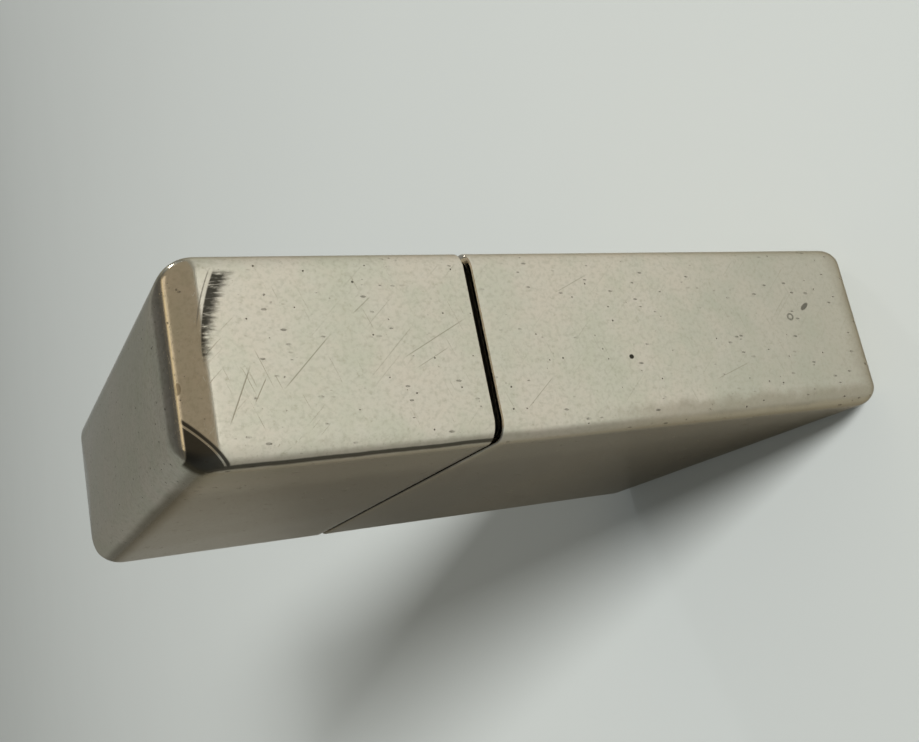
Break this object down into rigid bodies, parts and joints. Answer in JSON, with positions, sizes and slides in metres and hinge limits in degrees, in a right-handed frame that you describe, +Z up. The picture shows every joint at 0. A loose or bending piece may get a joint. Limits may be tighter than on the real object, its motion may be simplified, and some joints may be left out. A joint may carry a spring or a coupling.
{
  "type": "flip-top petrol lighter",
  "caption": "Flip-top windproof petrol lighter: drawn metal case and hinged lid round a pull-out inside unit with chimney, spark wheel, flint feed, cam, wick and packing.",
  "frame": {"origin": "centre of the base of the closed, upright lighter, in the plane of the foot ring", "axes": "+Z up from the base to the lid, +X to the thumb side with the spark wheel (the hinge is at -X), -Y to the front broad face"},
  "size_m": [0.0388, 0.0132, 0.0565],
  "materials": {
    "nickel_plate": "polished plate, worn, with fine scratches and dull specks",
    "hinge_steel": "rolled sheet, satin",
    "stainless": "satin, drawn",
    "small_steel": "bright",
    "wheel_steel": "hardened, file cut",
    "brass": "turned",
    "ferrocerium": "matt",
    "wick_cotton": "braided cotton",
    "packing_cotton": "cotton wool",
    "felt": "pressed felt"
  },
  "bodies": {
    "case": {"case_body": "nickel_plate", "hinge_leaf_case": "hinge_steel", "hinge_pin": "hinge_steel", "insert_tank": "stainless", "chimney": "stainless", "wheel_axle": "small_steel", "cam_pin": "small_steel", "cam_spring": "small_steel", "cam_spring_rivet": "small_steel", "flint_spring": "small_steel", "flint_tube": "brass", "flint_screw": "brass", "wick": "wick_cotton", "felt_pad": "felt", "packing_bottom": "packing_cotton", "packing_lower": "packing_cotton", "packing_middle": "packing_cotton", "packing_upper_left": "packing_cotton", "packing_upper_right": "packing_cotton", "packing_side": "packing_cotton"},
    "lid": {"lid_shell": "nickel_plate", "hinge_leaf_lid": "hinge_steel"},
    "wheel": {"spark_wheel": "wheel_steel"},
    "cam": {"cam_lever": "small_steel"},
    "flint_feed": {"flint": "ferrocerium", "flint_plunger": "brass"}
  },
  "joints": [
    {"name": "lid_hinge", "type": "hinge", "parent": "case", "child": "lid", "pos_m": [-0.0189, 0, 0.0358], "axis": [0, -1, 0], "range_deg": [0, 130]},
    {"name": "cam_swing", "type": "hinge", "parent": "case", "child": "cam", "pos_m": [-0.012, 0, 0.0394], "axis": [0, -1, 0], "range_deg": [0, 20]},
    {"name": "wheel_spin", "type": "hinge", "parent": "case", "child": "wheel", "pos_m": [0.0106, 0, 0.0454], "axis": [0, 1, 0], "continuous": true},
    {"name": "flint_feed", "type": "slide", "parent": "case", "child": "flint_feed", "axis": [0, 0, 1], "range_m": [-0.0025, 0], "stiffness_N_per_m": 150, "springref_m": 0.004, "deforming": ["flint_spring"]}
  ],
  "couplings": [
    {"joint": "cam_swing", "follows": "lid_hinge", "ratio": 0.15}
  ]
}
